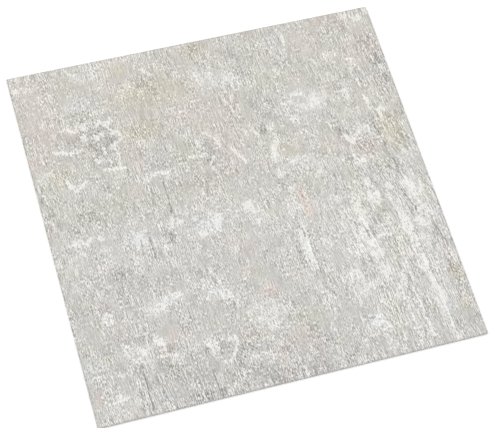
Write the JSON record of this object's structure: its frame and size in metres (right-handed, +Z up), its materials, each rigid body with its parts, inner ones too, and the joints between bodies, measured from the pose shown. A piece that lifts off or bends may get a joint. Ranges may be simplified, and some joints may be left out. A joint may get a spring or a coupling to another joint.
{
  "type": "vinyl floor tile",
  "caption": "Thin square vinyl floor tile with a pale grey distressed limed-stone print, stuck down edge to edge with others on a smooth subfloor.",
  "frame": {"origin": "middle of the back face, which lies on the floor", "axes": "+Z up through the printed face, X and Y along the sides, with the grain of the print running along Y"},
  "size_m": [0.305, 0.305, 0.0015],
  "materials": {
    "printed_vinyl": "pale grey distressed print under a matt, lightly embossed wear layer; plain grey filled vinyl on the cut edges and the back"
  },
  "bodies": {
    "root": {"vinyl_tile": "printed_vinyl"}
  },
  "joints": []
}
